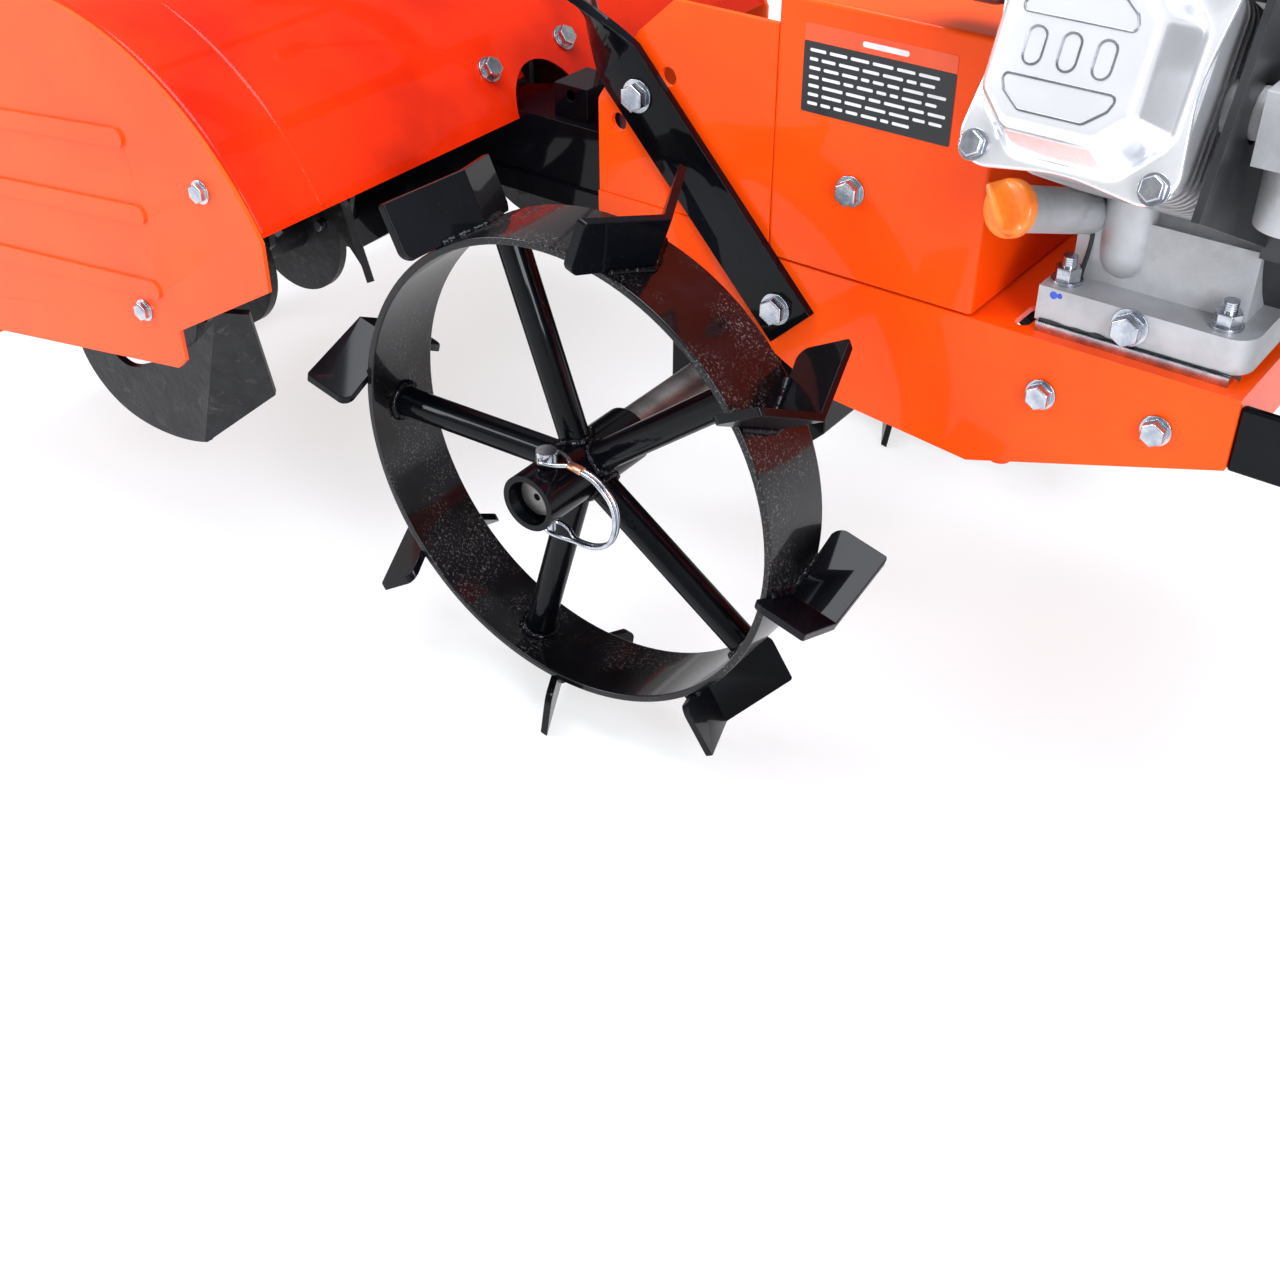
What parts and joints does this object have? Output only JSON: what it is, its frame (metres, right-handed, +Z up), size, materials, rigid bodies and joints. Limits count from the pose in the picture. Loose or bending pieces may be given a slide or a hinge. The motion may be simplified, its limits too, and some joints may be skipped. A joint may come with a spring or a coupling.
{
  "type": "walk-behind tiller",
  "caption": "Walk-behind motor tiller on iron lugged wheels, with a leaning single-cylinder engine, pressed chassis, belt cover, hooded rear tine rotor, depth skid and tilting handlebar.",
  "frame": {"origin": "on the ground, under the middle of the machine's box", "axes": "+X forwards, +Y to the machine's left, +Z up"},
  "size_m": [1.254, 0.6024, 0.9022],
  "materials": {
    "black_paint": "gloss enamel",
    "frame_orange": "gloss enamel",
    "hood_orange": "gloss enamel",
    "panel_orange": "gloss enamel",
    "zinc_plate": "bright zinc",
    "ground_steel": "oiled",
    "tine_steel": "satin black, worn",
    "cast_aluminium": "as cast",
    "pressed_cover": "bright plated",
    "cap_plastic": "moulded",
    "black_plastic": "moulded",
    "black_steel": "satin",
    "belt_rubber": "matt"
  },
  "bodies": {
    "chassis": {"air_cleaner": "black_plastic", "belt_cover": "frame_orange", "braces": "black_paint", "carburettor": "cast_aluminium", "chassis_pan": "frame_orange", "cylinder_head": "cast_aluminium", "drive_beam": "black_paint", "drive_belts": "belt_rubber", "engine_block": "cast_aluminium", "engine_fasteners": "zinc_plate", "fan_shroud": "black_plastic", "flap_pin": "zinc_plate", "frame_bolts": "zinc_plate", "front_bumper": "black_paint", "fuel_tank": "black_steel", "gearbox_case_left": "black_paint", "gearbox_case_right": "black_paint", "guard_bolts": "zinc_plate", "hood_saddle": "hood_orange", "muffler": "black_steel", "pull_handle": "black_plastic", "rotor_chain": "ground_steel", "side_panels": "panel_orange", "skid_socket": "black_paint", "tank_brackets": "black_steel", "tine_hood": "hood_orange", "tower_plates": "frame_orange", "valve_cover": "pressed_cover"},
    "wheels": {"wheel_axle": "ground_steel", "axle_worm_gear": "ground_steel", "wheel_rim_right": "black_paint", "wheel_rim_left": "black_paint", "wheel_spider_right": "black_paint", "wheel_spider_left": "black_paint", "wheel_lugs_right": "black_paint", "wheel_lugs_left": "black_paint", "lock_pins": "zinc_plate"},
    "bow_right": {"lock_bow_right": "zinc_plate"},
    "bow_left": {"lock_bow_left": "zinc_plate"},
    "crank": {"crankshaft": "ground_steel", "crank_pulley": "ground_steel"},
    "worm_drive": {"worm_shaft": "ground_steel", "driven_pulley": "ground_steel"},
    "counter": {"counter_sprocket_shaft": "ground_steel"},
    "rotor": {"rotor_shaft": "ground_steel", "rotor_flanges": "ground_steel", "rotor_tines": "tine_steel", "tine_bolts": "zinc_plate"},
    "handlebar": {"handlebars": "black_paint", "hand_grips": "belt_rubber", "lever_clamps": "black_plastic"},
    "clutch_lever": {"hand_lever_left": "black_steel"},
    "drive_lever": {"hand_lever_right": "black_steel"},
    "throttle": {"throttle_lever": "black_plastic"},
    "gear_stick": {"gear_lever": "black_steel"},
    "flap": {"rear_flap": "panel_orange"},
    "skid": {"depth_skid": "black_paint"},
    "clamp_screw": {"skid_clamp_screw": "zinc_plate"},
    "oil_plug": {"oil_cap": "cap_plastic"},
    "tank_cap": {"fuel_cap": "black_plastic"}
  },
  "joints": [
    {"name": "wheel_roll", "type": "hinge", "parent": "chassis", "child": "wheels", "pos_m": [0.177, 0, 0.19724], "axis": [0, 1, 0], "continuous": true},
    {"name": "right_bow_swing", "type": "hinge", "parent": "wheels", "child": "bow_right", "pos_m": [0.177, -0.272, 0.22134], "axis": [0, 1, 0], "range_deg": [-110, 0]},
    {"name": "left_bow_swing", "type": "hinge", "parent": "wheels", "child": "bow_left", "pos_m": [0.177, 0.272, 0.22134], "axis": [0, 1, 0], "range_deg": [-110, 0]},
    {"name": "crank_spin", "type": "hinge", "parent": "chassis", "child": "crank", "pos_m": [0.177, -0.036, 0.41824], "axis": [1, 0, 0], "continuous": true},
    {"name": "worm_spin", "type": "hinge", "parent": "chassis", "child": "worm_drive", "pos_m": [0.177, 0, 0.27724], "axis": [1, 0, 0], "continuous": true},
    {"name": "counter_spin", "type": "hinge", "parent": "chassis", "child": "counter", "pos_m": [-0.085, 0, 0.28124], "axis": [0, 1, 0], "continuous": true},
    {"name": "rotor_spin", "type": "hinge", "parent": "chassis", "child": "rotor", "pos_m": [-0.231, 0, 0.19724], "axis": [0, 1, 0], "continuous": true},
    {"name": "handlebar_tilt", "type": "hinge", "parent": "chassis", "child": "handlebar", "pos_m": [0.0403, 0, 0.54052], "axis": [0, 1, 0], "range_deg": [-12, 15]},
    {"name": "clutch_squeeze", "type": "hinge", "parent": "handlebar", "child": "clutch_lever", "pos_m": [-0.479, 0.235, 0.81724], "axis": [0, 1, 0], "range_deg": [0, 8], "stiffness_Nm_per_rad": 1.5, "springref_deg": -17.19},
    {"name": "drive_squeeze", "type": "hinge", "parent": "handlebar", "child": "drive_lever", "pos_m": [-0.479, -0.235, 0.81724], "axis": [0, 1, 0], "range_deg": [0, 8], "stiffness_Nm_per_rad": 1.5, "springref_deg": -17.19},
    {"name": "throttle_turn", "type": "hinge", "parent": "handlebar", "child": "throttle", "pos_m": [-0.419, -0.235, 0.86924], "axis": [0, 1, 0], "range_deg": [-30, 30]},
    {"name": "gear_select", "type": "hinge", "parent": "chassis", "child": "gear_stick", "pos_m": [0.00709, 0, 0.33724], "axis": [0, 1, 0], "range_deg": [-12, 12]},
    {"name": "flap_swing", "type": "hinge", "parent": "chassis", "child": "flap", "pos_m": [-0.4519, 0, 0.14889], "axis": [0, 1, 0], "range_deg": [0, 60]},
    {"name": "clamp_turn", "type": "hinge", "parent": "chassis", "child": "clamp_screw", "pos_m": [-0.4939, -0.02, 0.28224], "axis": [0, 1, 0], "continuous": true},
    {"name": "oil_cap_turn", "type": "hinge", "parent": "chassis", "child": "oil_plug", "pos_m": [0.42, -0.185, 0.41424], "axis": [-0.2084, -0.9322, 0.2961], "continuous": true},
    {"name": "fuel_cap_turn", "type": "hinge", "parent": "chassis", "child": "tank_cap", "pos_m": [0.489, 0.01, 0.64624], "axis": [0, 0, 1], "continuous": true},
    {"name": "skid_slide", "type": "slide", "parent": "chassis", "child": "skid", "axis": [0, 0, 1], "range_m": [0, 0.06]}
  ],
  "couplings": [
    {"joint": "worm_spin", "follows": "crank_spin", "ratio": 0.66667},
    {"joint": "counter_spin", "follows": "crank_spin", "ratio": 0.66667},
    {"joint": "rotor_spin", "follows": "crank_spin", "ratio": 0.41026}
  ]
}
